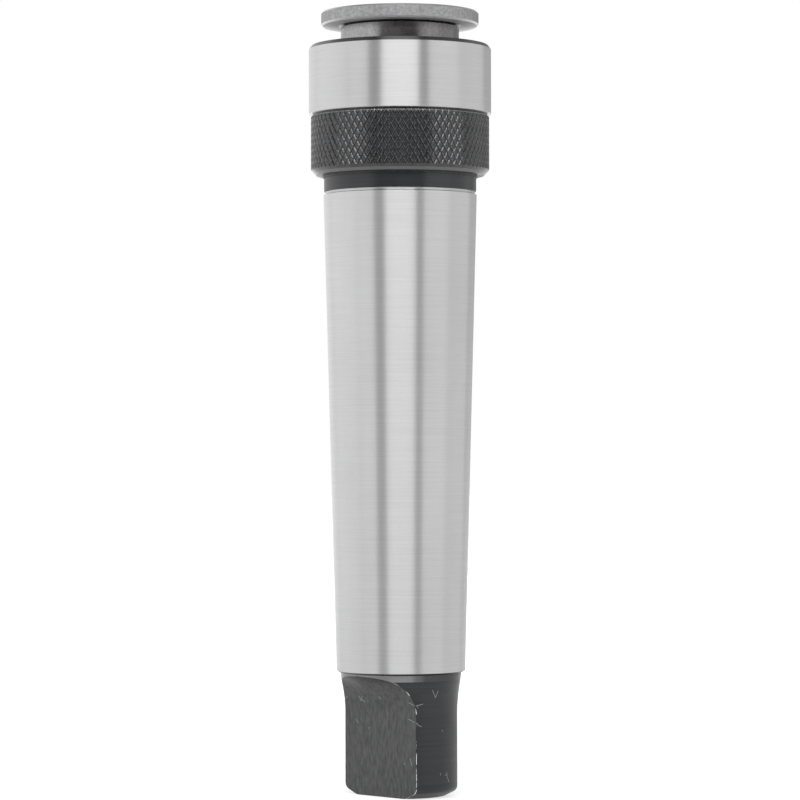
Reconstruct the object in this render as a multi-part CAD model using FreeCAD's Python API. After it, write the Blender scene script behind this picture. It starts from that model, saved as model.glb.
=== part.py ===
import FreeCAD, Part
import math
import os

# Quick-change collet chuck with a Morse taper 4 tang shank, standing on its tang.
# Millimetres. Origin at the middle of the tang's end, +Z along the axis to the nose,
# and the tang's two flats face +Y and -Y.

# Morse taper 4 shank with tang
taper_rate = 0.05194            # change of diameter for each millimetre of length
gauge_diameter = 31.267
gauge_height = 117.5            # from the tang's end to the gauge plane
taper_top_height = 123.5        # where the ground taper ends below the collar
taper_bottom_height = 25.6
tang_diameter = 24.0
tang_thickness = 11.9
tang_flat_height = 17.0         # the flats are straight up to here
tang_runout_radius = 8.0        # left by the cutter
tang_end_radius = 9.6           # radius of the end face inside its chamfer
tang_end_chamfer_height = 1.25
tang_neck_height = 21.0         # where the tang starts to swell to the shoulder
shoulder_radius = 12.3
shoulder_height = 23.9
shoulder_top_radius = 12.45
shoulder_step_height = 0.4      # the small step up to the taper

# Collar between the taper and the sleeve
collar_step = 1.0               # the collar stands this far out of the nose tube
relief_groove_width = 0.7
relief_groove_depth = 0.3

# Nose tube
nose_length = 30.4              # above the taper's top
nose_wall = 2.47
nose_chamfer = 0.4
barrel_length = 10.1            # the collar's diameter runs on inside the sleeve up to here
collet_bore_depth = 30.0
bore_mouth_chamfer = 0.5

# Sleeve
sleeve_diameter = 37.6
sleeve_wall = 1.4               # round the recess in its front end
sleeve_length = 26.8
sleeve_setback = 4.0            # from the taper's top to the sleeve's rear end
knurl_inset = 0.4               # the knurl's crests lie this far inside the bright band
knurl_depth = 0.45
knurl_length = 10.95
groove_width = 0.5
groove_depth = 0.8              # below the bright band
sleeve_rear_inset = 1.5
sleeve_rear_chamfer_length = 1.2
sleeve_front_chamfer = 0.6
sleeve_front_chamfer_length = 0.8
sleeve_travel = 3.0
sleeve_stop_gap = 0.15
sleeve_web_setback = 13.9       # from the sleeve's rear end to the web that rides on the nose
sleeve_web_height = 2.0
cam_depth = 1.5                 # from the front recess in to the locking land
land_gap = 1.2                  # from the locking land in to the nose tube

# Rear wiper ring
wiper_base_height = 1.8
wiper_base_width = 0.8
wiper_lip_length = 0.5
wiper_lip_width = 0.28

# Sleeve spring and its washer
sleeve_spring_wire_width = 0.75
sleeve_spring_wire_height = 0.6
sleeve_spring_turns = 3.0
thrust_washer_height = 0.8
thrust_washer_gap = 0.05        # lets the sleeve turn on the washer

# Locking balls
ball_count = 3
ball_radius = 2.5
ball_setback = 7.8              # below the nose tube's end
ball_inset = 1.05               # from the nose tube's surface in to a locked ball's centre
ball_travel = 1.15
first_ball_angle = 30.0

# Front guide ring and snap ring
guide_ring_height = 2.0
snap_ring_thickness = 1.2
snap_ring_depth = 0.8           # how far it sits in its groove
snap_ring_height = 1.5          # how far it stands out of the nose tube
snap_ring_gap_angle = 40.0

# Collet
collet_insertion = 27.4         # how deep it stands in the nose tube
collet_end_chamfer = 0.8
neck_length = 4.5               # between the nose tube and the flange
flange_diameter = 32.5
flange_thickness = 2.8
flange_chamfer = 0.35
neck_fillet = 0.4
collet_release_travel = 1.6
tool_bore_diameter = 12.0
tool_bore_chamfer = 0.6
groove_upper_flank_angle = 45.0

# Drive pins
pin_count = 2
pin_diameter = 4.5
pin_setback = 2.7               # below the barrel's top
pin_engagement = 2.9            # how far a pin reaches into the collet
pin_recess = 0.25               # below the barrel's surface
pin_end_chamfer = 0.3
first_pin_angle = 90.0
drive_slot_clearance = 0.1
drive_slot_end_gap = 0.3

# Square driver and its snap ring
driver_diameter = 15.0
driver_height = 8.6
driver_square = 9.1
driver_ring_thickness = 1.0
driver_ring_depth = 0.6
driver_ring_width = 1.5
driver_ring_gap_angle = 50.0
driver_ring_recess = 0.4        # from the collet's end to the ring

# Pins that lock the square driver in the collet
lock_pin_count = 2
lock_pin_diameter = 3.0
lock_pin_setback = 5.7          # above the collet's inner end
lock_pin_engagement = 1.9       # how far a pin reaches into the square driver
lock_pin_recess = 0.2           # below the collet's surface
lock_pin_chamfer = 0.2
first_lock_pin_angle = 0.0

# Clamp screws in the collet
screw_count = 2
screw_diameter = 4.0
screw_setback = 24.4            # above the collet's inner end
screw_point_gap = 0.3           # from the tool bore to the screw's point
screw_recess = 0.3              # below the collet's surface
screw_socket_across_flats = 2.0
screw_socket_depth = 2.0
screw_cone_height = 0.8
first_screw_angle = 0.0

# Ejector
ejector_gap = 0.1               # between the plunger and the collet's end
ejector_flange_width = 1.85
ejector_flange_height = 2.0
ejector_skirt_radius = 7.95
ejector_skirt_length = 13.0
ejector_skirt_wall = 1.55
ejector_chamfer = 0.3
ejector_bore_depth = 24.4       # below the collet's bore
ejector_spring_wire_width = 1.4
ejector_spring_wire_height = 1.2
ejector_spring_turns = 4.5
ejector_spring_gap = 0.25       # between the spring and the plunger's inside

# Clearances, all on the radius
running_clearance = 0.05
collet_clearance = 0.03
ball_clearance = 0.03
snap_ring_clearance = 0.05      # on each side of a snap ring in its groove

# Radii worked out from the sleeve inwards
origin = FreeCAD.Vector(0, 0, 0)
up = FreeCAD.Vector(0, 0, 1)
sleeve_radius = sleeve_diameter / 2
sleeve_rear_face_radius = sleeve_radius - sleeve_rear_inset
knurl_root_radius = sleeve_radius - knurl_inset - knurl_depth
recess_radius = sleeve_radius - sleeve_wall
land_radius = recess_radius - cam_depth
nose_radius = land_radius - land_gap
collar_radius = nose_radius + collar_step
collet_bore_radius = nose_radius - nose_wall
collet_radius = collet_bore_radius - collet_clearance
sleeve_bore_radius = collar_radius + running_clearance
sleeve_web_radius = nose_radius + running_clearance
wiper_base_radius = collar_radius + wiper_base_width
wiper_lip_radius = collar_radius + wiper_lip_width
guide_ring_radius = recess_radius - running_clearance
snap_ring_radius = nose_radius + snap_ring_height
ball_locked_radius = nose_radius - ball_inset
flange_radius = flange_diameter / 2
tool_bore_radius = tool_bore_diameter / 2
driver_radius = driver_diameter / 2
driver_ring_radius = driver_radius + driver_ring_depth
pin_radius = pin_diameter / 2
pin_inner_radius = collet_radius - pin_engagement
pin_outer_radius = collar_radius - pin_recess
drive_slot_inner_radius = pin_inner_radius - drive_slot_end_gap
lock_pin_radius = lock_pin_diameter / 2
lock_pin_inner_radius = driver_radius - lock_pin_engagement
lock_pin_outer_radius = collet_radius - lock_pin_recess
screw_radius = screw_diameter / 2
screw_inner_radius = tool_bore_radius + screw_point_gap
screw_outer_radius = collet_radius - screw_recess
ejector_flange_radius = ejector_skirt_radius + ejector_flange_width
ejector_bore_radius = ejector_skirt_radius + running_clearance

# Heights worked out from the taper's top upwards
nose_top = taper_top_height + nose_length
barrel_top = taper_top_height + barrel_length
collet_bore_bottom = nose_top - collet_bore_depth
ejector_bore_bottom = collet_bore_bottom - ejector_bore_depth
sleeve_bottom = taper_top_height + sleeve_setback
sleeve_top = sleeve_bottom + sleeve_length
sleeve_web_bottom = sleeve_bottom + sleeve_web_setback
sleeve_web_top = sleeve_web_bottom + sleeve_web_height
knurl_bottom = sleeve_bottom + sleeve_rear_chamfer_length
knurl_top = knurl_bottom + knurl_length
ball_height = nose_top - ball_setback
pin_height = barrel_top - pin_setback
collet_bottom = nose_top - collet_insertion
flange_bottom = nose_top + neck_length
flange_top = flange_bottom + flange_thickness
lock_pin_height = collet_bottom + lock_pin_setback
screw_height = collet_bottom + screw_setback
driver_ring_bottom = collet_bottom + driver_ring_recess
driver_bottom = driver_ring_bottom + driver_ring_thickness
tool_bore_bottom = driver_bottom + driver_height
groove_flank_rate = ball_travel / collet_release_travel

# The sleeve's cam cone pushes the balls in by ball_travel over sleeve_travel
cam_rate = ball_travel / sleeve_travel
cam_angle = math.atan(cam_rate)
cam_radius_at_ball = ball_locked_radius + (ball_radius + ball_clearance) / math.cos(cam_angle)
cam_bottom = ball_height - (cam_radius_at_ball - land_radius) / cam_rate
cam_top = ball_height + (recess_radius - cam_radius_at_ball) / cam_rate
guide_ring_bottom = cam_top + sleeve_stop_gap
snap_ring_bottom = guide_ring_bottom + guide_ring_height
thrust_washer_top = sleeve_web_bottom - thrust_washer_gap
thrust_washer_bottom = thrust_washer_top - thrust_washer_height


def taper_radius(height):
    """Radius of the Morse taper at a height above the tang's end."""
    return (gauge_diameter - (gauge_height - height) * taper_rate) / 2


def outline_of(points):
    """Straight edges through (radius, height) points, closed at the end."""
    corners = [FreeCAD.Vector(radius, 0, height) for radius, height in points]
    corners.append(corners[0])
    return Part.makePolygon(corners)


def turned(points):
    """Solid of revolution about the Z axis from (radius, height) points."""
    face = Part.Face(outline_of(points))
    return face.revolve(origin, up, 360)


def ring(inner_radius, outer_radius, bottom, height):
    outside = Part.makeCylinder(outer_radius, height, FreeCAD.Vector(0, 0, bottom))
    inside = Part.makeCylinder(inner_radius, height, FreeCAD.Vector(0, 0, bottom))
    return outside.cut(inside)


def direction(angle):
    """Unit vector away from the axis at an angle in degrees from +X."""
    turn = math.radians(angle)
    return FreeCAD.Vector(math.cos(turn), math.sin(turn), 0)


def radial_cylinder(radius, inner, outer, height, angle):
    away = direction(angle)
    start = away * inner + up * height
    return Part.makeCylinder(radius, outer - inner, start, away)


def angles_of(count, first_angle):
    return [first_angle + 360.0 * index / count for index in range(count)]


def shank_outline():
    """Closed outline of the shank from the end of the tang to the nose."""
    neck = FreeCAD.Vector(tang_diameter / 2, 0, tang_neck_height)
    shoulder = FreeCAD.Vector(shoulder_radius, 0, shoulder_height)
    taper_top_radius = taper_radius(taper_top_height)
    groove_radius = collar_radius - relief_groove_depth
    groove_middle = taper_top_height + relief_groove_width / 2
    collar_bottom = taper_top_height + relief_groove_width
    swell_rise = shoulder_height - tang_neck_height
    swell_run = shoulder_radius - tang_diameter / 2
    swell_radius = (swell_rise ** 2 + swell_run ** 2) / (2 * swell_run)
    half_turn = math.asin(swell_rise / swell_radius) / 2
    swell_middle = FreeCAD.Vector(
        tang_diameter / 2 + swell_radius * (1 - math.cos(half_turn)),
        0,
        tang_neck_height + swell_radius * math.sin(half_turn))
    below = Part.makePolygon([
        FreeCAD.Vector(0, 0, 0),
        FreeCAD.Vector(tang_end_radius, 0, 0),
        FreeCAD.Vector(tang_diameter / 2, 0, tang_end_chamfer_height),
        neck])
    swell = Part.Arc(neck, swell_middle, shoulder).toShape()
    above = Part.makePolygon([
        shoulder,
        FreeCAD.Vector(shoulder_top_radius, 0, taper_bottom_height - shoulder_step_height),
        FreeCAD.Vector(taper_radius(taper_bottom_height), 0, taper_bottom_height),
        FreeCAD.Vector(taper_top_radius, 0, taper_top_height),
        FreeCAD.Vector(groove_radius, 0, groove_middle),
        FreeCAD.Vector(collar_radius, 0, collar_bottom),
        FreeCAD.Vector(collar_radius, 0, barrel_top),
        FreeCAD.Vector(nose_radius, 0, barrel_top),
        FreeCAD.Vector(nose_radius, 0, nose_top - nose_chamfer),
        FreeCAD.Vector(nose_radius - nose_chamfer, 0, nose_top),
        FreeCAD.Vector(0, 0, nose_top),
        FreeCAD.Vector(0, 0, 0)])
    return Part.Wire(below.Edges + [swell] + above.Edges)


def tang_flat_cutter(side):
    """What the milling cutter takes off one side of the tang."""
    half = tang_thickness / 2
    outside = shoulder_top_radius + tang_runout_radius
    turn = math.radians(45)
    start = FreeCAD.Vector(0, half, tang_flat_height)
    middle = FreeCAD.Vector(
        0,
        half + tang_runout_radius * (1 - math.cos(turn)),
        tang_flat_height + tang_runout_radius * math.sin(turn))
    end = FreeCAD.Vector(0, half + tang_runout_radius, tang_flat_height + tang_runout_radius)
    run_out = Part.Arc(start, middle, end).toShape()
    rest = Part.makePolygon([
        end,
        FreeCAD.Vector(0, outside, tang_flat_height + tang_runout_radius),
        FreeCAD.Vector(0, outside, -tang_end_chamfer_height),
        FreeCAD.Vector(0, half, -tang_end_chamfer_height),
        start])
    profile = Part.Face(Part.Wire([run_out] + rest.Edges))
    profile.translate(FreeCAD.Vector(-outside, 0, 0))
    cutter = profile.extrude(FreeCAD.Vector(2 * outside, 0, 0))
    if side < 0:
        cutter.rotate(origin, up, 180)
    return cutter


def ball_pocket(angle):
    """Round-bottomed pocket that lets a ball out but not through into the bore."""
    centre = direction(angle) * ball_locked_radius + up * ball_height
    pocket = Part.makeSphere(ball_radius + ball_clearance, centre)
    way_out = radial_cylinder(
        ball_radius + ball_clearance, ball_locked_radius, sleeve_radius, ball_height, angle)
    return pocket.fuse(way_out)


def shank_body():
    body = Part.Face(shank_outline()).revolve(origin, up, 360)
    body = body.cut(tang_flat_cutter(1))
    body = body.cut(tang_flat_cutter(-1))
    bore = turned([
        (0, collet_bore_bottom),
        (collet_bore_radius, collet_bore_bottom),
        (collet_bore_radius, nose_top - bore_mouth_chamfer),
        (collet_bore_radius + bore_mouth_chamfer, nose_top),
        (0, nose_top)])
    ejector_bore = Part.makeCylinder(
        ejector_bore_radius,
        collet_bore_bottom - ejector_bore_bottom,
        FreeCAD.Vector(0, 0, ejector_bore_bottom))
    body = body.cut(bore).cut(ejector_bore)
    body = body.cut(snap_ring_groove())
    for angle in angles_of(ball_count, first_ball_angle):
        body = body.cut(ball_pocket(angle))
    for angle in angles_of(pin_count, first_pin_angle):
        hole = radial_cylinder(pin_radius, pin_inner_radius, sleeve_radius, pin_height, angle)
        body = body.cut(hole)
    return body


def snap_ring_groove():
    width = snap_ring_thickness + snap_ring_clearance
    return ring(nose_radius - snap_ring_depth, sleeve_radius, snap_ring_bottom, width)


def open_ring(inner_radius, outer_radius, bottom, height, gap_angle):
    """Flat snap ring with a gap on the +X side."""
    closed = ring(inner_radius, outer_radius, bottom, height)
    reach = 2 * outer_radius
    half = math.radians(gap_angle / 2)
    gap_points = [
        FreeCAD.Vector(0, 0, bottom),
        FreeCAD.Vector(reach, -reach * math.tan(half), bottom),
        FreeCAD.Vector(reach, reach * math.tan(half), bottom),
        FreeCAD.Vector(0, 0, bottom)]
    gap = Part.Face(Part.makePolygon(gap_points)).extrude(up * height)
    return closed.cut(gap)


def front_snap_ring():
    inner_radius = nose_radius - snap_ring_depth
    return open_ring(
        inner_radius, snap_ring_radius, snap_ring_bottom, snap_ring_thickness, snap_ring_gap_angle)


def front_guide_ring():
    return turned([
        (nose_radius, guide_ring_bottom),
        (guide_ring_radius, guide_ring_bottom),
        (guide_ring_radius, snap_ring_bottom),
        (nose_radius, snap_ring_bottom)])


def locking_sleeve():
    """Turned sleeve, the knurled band cut to the knurl's root."""
    groove_radius = sleeve_radius - groove_depth
    return turned([
        (wiper_base_radius, sleeve_bottom),
        (sleeve_rear_face_radius, sleeve_bottom),
        (knurl_root_radius, knurl_bottom),
        (knurl_root_radius, knurl_top),
        (groove_radius, knurl_top),
        (groove_radius, knurl_top + groove_width),
        (sleeve_radius, knurl_top + groove_width),
        (sleeve_radius, sleeve_top - sleeve_front_chamfer_length),
        (sleeve_radius - sleeve_front_chamfer, sleeve_top),
        (recess_radius, sleeve_top),
        (recess_radius, cam_top),
        (land_radius, cam_bottom),
        (land_radius, sleeve_web_top),
        (sleeve_web_radius, sleeve_web_top),
        (sleeve_web_radius, sleeve_web_bottom),
        (sleeve_bore_radius, sleeve_web_bottom),
        (sleeve_bore_radius, sleeve_bottom + wiper_base_height),
        (wiper_base_radius, sleeve_bottom + wiper_base_height)])


def rear_wiper_ring():
    return turned([
        (sleeve_bore_radius, sleeve_bottom - wiper_lip_length),
        (wiper_lip_radius, sleeve_bottom - wiper_lip_length),
        (wiper_lip_radius, sleeve_bottom),
        (wiper_base_radius, sleeve_bottom),
        (wiper_base_radius, sleeve_bottom + wiper_base_height),
        (sleeve_bore_radius, sleeve_bottom + wiper_base_height)])


def sleeve_thrust_washer():
    inner_radius = nose_radius + running_clearance
    outer_radius = sleeve_bore_radius - running_clearance
    return ring(inner_radius, outer_radius, thrust_washer_bottom, thrust_washer_height)


def coil_spring(wire_width, wire_height, mean_radius, bottom, top, turns):
    """Compression spring of rectangular wire, its wire lying flat on both seats."""
    rise = top - bottom - wire_height
    path = Part.makeHelix(rise / turns, rise, mean_radius)
    path.translate(up * (bottom + wire_height / 2))
    inside = mean_radius - wire_width / 2
    outside = mean_radius + wire_width / 2
    section = outline_of([
        (inside, bottom),
        (outside, bottom),
        (outside, bottom + wire_height),
        (inside, bottom + wire_height)])
    return Part.Wire(path.Edges).makePipeShell([section], True, True)


def sleeve_spring():
    mean_radius = (nose_radius + sleeve_bore_radius) / 2
    return coil_spring(
        sleeve_spring_wire_width,
        sleeve_spring_wire_height,
        mean_radius,
        barrel_top,
        thrust_washer_bottom,
        sleeve_spring_turns)


def locking_ball(angle):
    centre = direction(angle) * ball_locked_radius + up * ball_height
    return Part.makeSphere(ball_radius, centre)


def dowel(radius, length, chamfer):
    """Short round pin on the Z axis with both ends chamfered."""
    return turned([
        (0, 0),
        (radius - chamfer, 0),
        (radius, chamfer),
        (radius, length - chamfer),
        (radius - chamfer, length),
        (0, length)])


def laid_along(shape, inner_radius, height, angle):
    """Turn a shape that stands on the origin to lie outwards at an angle."""
    laid = shape.copy()
    laid.rotate(origin, FreeCAD.Vector(0, 1, 0), 90)
    laid.rotate(origin, up, angle)
    laid.translate(direction(angle) * inner_radius + up * height)
    return laid


def drive_pin(angle):
    pin = dowel(pin_radius, pin_outer_radius - pin_inner_radius, pin_end_chamfer)
    return laid_along(pin, pin_inner_radius, pin_height, angle)


def driver_lock_pin(angle):
    length = lock_pin_outer_radius - lock_pin_inner_radius
    pin = dowel(lock_pin_radius, length, lock_pin_chamfer)
    return laid_along(pin, lock_pin_inner_radius, lock_pin_height, angle)


def lock_pin_hole(angle):
    """Hole through the collet's wall and into the square driver."""
    return radial_cylinder(
        lock_pin_radius, lock_pin_inner_radius, flange_radius, lock_pin_height, angle)


def ejector_top():
    return collet_bottom - ejector_gap


def ejector_plunger():
    """Flanged cup with the spring inside its skirt."""
    top = ejector_top()
    flange_under = top - ejector_flange_height
    skirt_bottom = flange_under - ejector_skirt_length
    inner_radius = ejector_skirt_radius - ejector_skirt_wall
    return turned([
        (0, flange_under),
        (inner_radius, flange_under),
        (inner_radius, skirt_bottom),
        (ejector_skirt_radius - ejector_chamfer, skirt_bottom),
        (ejector_skirt_radius, skirt_bottom + ejector_chamfer),
        (ejector_skirt_radius, flange_under),
        (ejector_flange_radius, flange_under),
        (ejector_flange_radius, top - ejector_chamfer),
        (ejector_flange_radius - ejector_chamfer, top),
        (0, top)])


def ejector_spring():
    outer_radius = ejector_skirt_radius - ejector_skirt_wall - ejector_spring_gap
    mean_radius = outer_radius - ejector_spring_wire_width / 2
    top = ejector_top() - ejector_flange_height
    return coil_spring(
        ejector_spring_wire_width,
        ejector_spring_wire_height,
        mean_radius,
        ejector_bore_bottom,
        top,
        ejector_spring_turns)


def ball_groove():
    """Ring cut out of the collet that the locking balls sit in."""
    gap = ball_radius + 2 * ball_clearance
    root_radius = ball_locked_radius - gap
    lower_angle = math.atan(groove_flank_rate)
    upper_angle = math.radians(groove_upper_flank_angle)
    lower_offset = gap / math.sin(lower_angle)
    upper_offset = gap / math.sin(upper_angle)
    outside_radius = ball_locked_radius

    def lower_height(radius):
        return ball_height - lower_offset - (radius - ball_locked_radius) / groove_flank_rate

    def upper_height(radius):
        return ball_height + upper_offset + (radius - ball_locked_radius) / math.tan(upper_angle)

    return turned([
        (root_radius, lower_height(root_radius)),
        (outside_radius, lower_height(outside_radius)),
        (outside_radius, upper_height(outside_radius)),
        (root_radius, upper_height(root_radius))])


def collet_body():
    collet = turned([
        (0, collet_bottom),
        (collet_radius - collet_end_chamfer, collet_bottom),
        (collet_radius, collet_bottom + collet_end_chamfer),
        (collet_radius, flange_bottom - neck_fillet),
        (collet_radius + neck_fillet, flange_bottom),
        (flange_radius - flange_chamfer, flange_bottom),
        (flange_radius, flange_bottom + flange_chamfer),
        (flange_radius, flange_top - flange_chamfer),
        (flange_radius - flange_chamfer, flange_top),
        (0, flange_top)])
    tool_bore = turned([
        (0, tool_bore_bottom),
        (tool_bore_radius, tool_bore_bottom),
        (tool_bore_radius, flange_top - tool_bore_chamfer),
        (tool_bore_radius + tool_bore_chamfer, flange_top),
        (0, flange_top)])
    rear_bore = Part.makeCylinder(
        driver_radius, tool_bore_bottom - collet_bottom, FreeCAD.Vector(0, 0, collet_bottom))
    ring_groove = ring(
        tool_bore_radius, driver_ring_radius, driver_ring_bottom, driver_ring_thickness)
    collet = collet.cut(tool_bore).cut(rear_bore).cut(ring_groove).cut(ball_groove())
    for angle in angles_of(pin_count, first_pin_angle):
        collet = collet.cut(drive_slot(angle))
    for angle in angles_of(screw_count, first_screw_angle):
        hole = radial_cylinder(screw_radius, 0, flange_radius, screw_height, angle)
        collet = collet.cut(hole)
    for angle in angles_of(lock_pin_count, first_lock_pin_angle):
        collet = collet.cut(lock_pin_hole(angle))
    return collet


def drive_slot(angle):
    """Round-ended slot, open at the collet's inner end, that a drive pin fits."""
    half_width = pin_radius + drive_slot_clearance
    length = collet_radius
    top = Part.makeCylinder(
        half_width, length, FreeCAD.Vector(drive_slot_inner_radius, 0, pin_height), direction(0))
    straight = Part.makeBox(
        length,
        2 * half_width,
        pin_height - collet_bottom + half_width,
        FreeCAD.Vector(drive_slot_inner_radius, -half_width, collet_bottom - half_width))
    slot = top.fuse(straight)
    slot.rotate(origin, up, angle)
    return slot


def square_driver():
    blank = Part.makeCylinder(driver_radius, driver_height, FreeCAD.Vector(0, 0, driver_bottom))
    half = driver_square / 2
    hole = Part.makeBox(
        driver_square, driver_square, driver_height, FreeCAD.Vector(-half, -half, driver_bottom))
    driver = blank.cut(hole)
    for angle in angles_of(lock_pin_count, first_lock_pin_angle):
        driver = driver.cut(lock_pin_hole(angle))
    return driver


def driver_snap_ring():
    return open_ring(
        driver_ring_radius - driver_ring_width,
        driver_ring_radius,
        driver_ring_bottom,
        driver_ring_thickness,
        driver_ring_gap_angle)


def tool_clamp_screw(angle):
    """Socket grub screw with a cone point towards the tool."""
    length = screw_outer_radius - screw_inner_radius
    screw = turned([
        (0, 0),
        (screw_radius - screw_cone_height, 0),
        (screw_radius, screw_cone_height),
        (screw_radius, length),
        (0, length)])
    corner_radius = screw_socket_across_flats / math.sqrt(3)
    corners = [
        FreeCAD.Vector(
            corner_radius * math.cos(math.radians(60 * index)),
            corner_radius * math.sin(math.radians(60 * index)),
            length)
        for index in range(6)]
    corners.append(corners[0])
    socket = Part.Face(Part.makePolygon(corners)).extrude(up * -screw_socket_depth)
    return laid_along(screw.cut(socket), screw_inner_radius, screw_height, angle)


def numbered(name, maker, angles):
    """The same piece at each angle, under names that end in 1, 2 and so on."""
    return {f"{name}_{index + 1}": maker(angle) for index, angle in enumerate(angles)}


pieces = {
    "shank_body": shank_body(),
    "front_guide_ring": front_guide_ring(),
    "front_snap_ring": front_snap_ring(),
    "locking_sleeve": locking_sleeve(),
    "rear_wiper_ring": rear_wiper_ring(),
    "sleeve_thrust_washer": sleeve_thrust_washer(),
    "sleeve_spring": sleeve_spring(),
    "ejector_plunger": ejector_plunger(),
    "ejector_spring": ejector_spring(),
    "collet_body": collet_body(),
    "square_driver": square_driver(),
    "driver_snap_ring": driver_snap_ring(),
}
pieces.update(numbered("locking_ball", locking_ball, angles_of(ball_count, first_ball_angle)))
pieces.update(numbered("drive_pin", drive_pin, angles_of(pin_count, first_pin_angle)))
pieces.update(
    numbered(
        "driver_lock_pin", driver_lock_pin, angles_of(lock_pin_count, first_lock_pin_angle)))
pieces.update(
    numbered("tool_clamp_screw", tool_clamp_screw, angles_of(screw_count, first_screw_angle)))

os.makedirs("parts", exist_ok=True)
for name, shape in pieces.items():
    print(name, shape.ShapeType, len(shape.Solids), shape.isValid(), round(shape.Volume, 2))
    shape.exportStep(f"parts/{name}.step")
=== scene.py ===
import math
import bpy
import bmesh
from mathutils import Matrix, Vector


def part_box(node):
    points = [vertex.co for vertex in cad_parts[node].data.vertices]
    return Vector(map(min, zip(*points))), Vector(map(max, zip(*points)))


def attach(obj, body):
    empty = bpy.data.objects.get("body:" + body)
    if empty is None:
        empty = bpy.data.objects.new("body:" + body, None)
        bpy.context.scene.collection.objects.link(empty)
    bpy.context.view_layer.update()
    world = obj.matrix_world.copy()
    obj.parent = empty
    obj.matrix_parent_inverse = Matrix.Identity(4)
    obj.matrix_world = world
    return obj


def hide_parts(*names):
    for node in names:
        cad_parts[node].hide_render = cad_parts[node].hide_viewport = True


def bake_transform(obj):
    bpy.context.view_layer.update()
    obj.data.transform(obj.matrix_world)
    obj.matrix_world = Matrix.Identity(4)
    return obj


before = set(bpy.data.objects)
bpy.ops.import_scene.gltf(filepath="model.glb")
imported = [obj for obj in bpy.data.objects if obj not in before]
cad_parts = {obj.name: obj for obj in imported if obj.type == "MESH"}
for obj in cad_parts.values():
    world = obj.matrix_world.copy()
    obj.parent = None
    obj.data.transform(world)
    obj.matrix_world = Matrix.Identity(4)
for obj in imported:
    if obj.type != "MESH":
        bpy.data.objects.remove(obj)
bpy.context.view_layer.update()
mm = 0.001    # the piece dictionaries are in millimetres, the scene is in metres
tiny = 0.001  # of a millimetre or of a share, too little to be seen

# Camera: where the photographer stood, round the chuck from its front flat
cameraSetup = {
    "azimuth": 45.4,
    "distance": 711.3,
    "height": 72.2,
    "aimHeight": 81.25,
    "aimLeft": 0.1,
    "lens": 155.25,
    "sensor": 36.0,
    "roll": -0.095,
    "clip": (10.0, 20000.0),
}


def millimetres(node):
    low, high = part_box(node)
    return low / mm, high / mm


def cameraDirection():
    turn = math.radians(cameraSetup["azimuth"])
    return Vector((math.sin(turn), -math.cos(turn), 0))


def seenAt(angle):
    # direction in the floor plane, in degrees to the right of the camera
    turn = math.radians(angle)
    toCamera = cameraDirection()
    toRight = Vector((-toCamera.y, toCamera.x, 0))
    return toCamera * math.cos(turn) + toRight * math.sin(turn)


def addObject(name, data):
    thing = bpy.data.objects.new(name, data)
    bpy.context.collection.objects.link(thing)
    return thing


def makeCamera():
    data = bpy.data.cameras.new("studioCamera")
    data.sensor_width = cameraSetup["sensor"]
    data.lens = cameraSetup["lens"]
    nearest, farthest = cameraSetup["clip"]
    data.clip_start = nearest * mm
    data.clip_end = farthest * mm
    camera = addObject("studioCamera", data)
    place = cameraDirection() * cameraSetup["distance"] * mm
    place.z = cameraSetup["height"] * mm
    aim = seenAt(-90) * cameraSetup["aimLeft"] * mm
    aim.z = cameraSetup["aimHeight"] * mm
    level = (aim - place).to_track_quat("-Z", "Y").to_matrix()
    roll = Matrix.Rotation(math.radians(cameraSetup["roll"]), 3, "Z")
    camera.matrix_world = Matrix.Translation(place) @ (level @ roll).to_4x4()
    bpy.context.scene.camera = camera


makeCamera()
print("camera placed")

# Material pieces: each helper adds a node or two, and most give back the socket to link on
noiseDetail = {"soft": 3.0, "fine": 4.0, "finest": 5.0}


def fillSocket(tree, socket, value):
    # value is a socket, a colour or a number
    if isinstance(value, bpy.types.NodeSocket):
        tree.links.new(value, socket)
    else:
        socket.default_value = (*value, 1) if isinstance(value, tuple) else value


def noiseOf(tree, stretch, detail="soft"):
    place = tree.nodes.new("ShaderNodeTexCoord")
    mapping = tree.nodes.new("ShaderNodeMapping")
    mapping.inputs["Scale"].default_value = stretch
    noise = tree.nodes.new("ShaderNodeTexNoise")
    noise.inputs["Scale"].default_value = 1.0
    noise.inputs["Detail"].default_value = noiseDetail[detail]
    tree.links.new(place.outputs["Object"], mapping.inputs["Vector"])
    tree.links.new(mapping.outputs["Vector"], noise.inputs["Vector"])
    return noise.outputs["Fac"]


def ranged(tree, source, low, high, start=0.3, end=0.7):
    # low at start and high at end, which hold most of a noise unless others are given
    node = tree.nodes.new("ShaderNodeMapRange")
    node.inputs["From Min"].default_value = start
    node.inputs["From Max"].default_value = end
    node.inputs["To Min"].default_value = low
    node.inputs["To Max"].default_value = high
    tree.links.new(source, node.inputs["Value"])
    return node.outputs["Result"]


def blended(tree, factor, first, second):
    # a mix node's colours are its inputs 6 and 7 and its output 2
    node = tree.nodes.new("ShaderNodeMix")
    node.data_type = "RGBA"
    tree.links.new(factor, node.inputs["Factor"])
    fillSocket(tree, node.inputs[6], first)
    fillSocket(tree, node.inputs[7], second)
    return node.outputs[2]


def calculated(tree, operation, *values):
    node = tree.nodes.new("ShaderNodeMath")
    node.operation = operation
    for socket, value in zip(node.inputs, values):
        fillSocket(tree, socket, value)
    return node.outputs["Value"]


def bumped(tree, shader, height, strength, depth):
    bump = tree.nodes.new("ShaderNodeBump")
    bump.inputs["Strength"].default_value = strength
    bump.inputs["Distance"].default_value = depth * mm
    tree.links.new(height, bump.inputs["Height"])
    tree.links.new(bump.outputs["Normal"], shader.inputs["Normal"])


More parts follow.
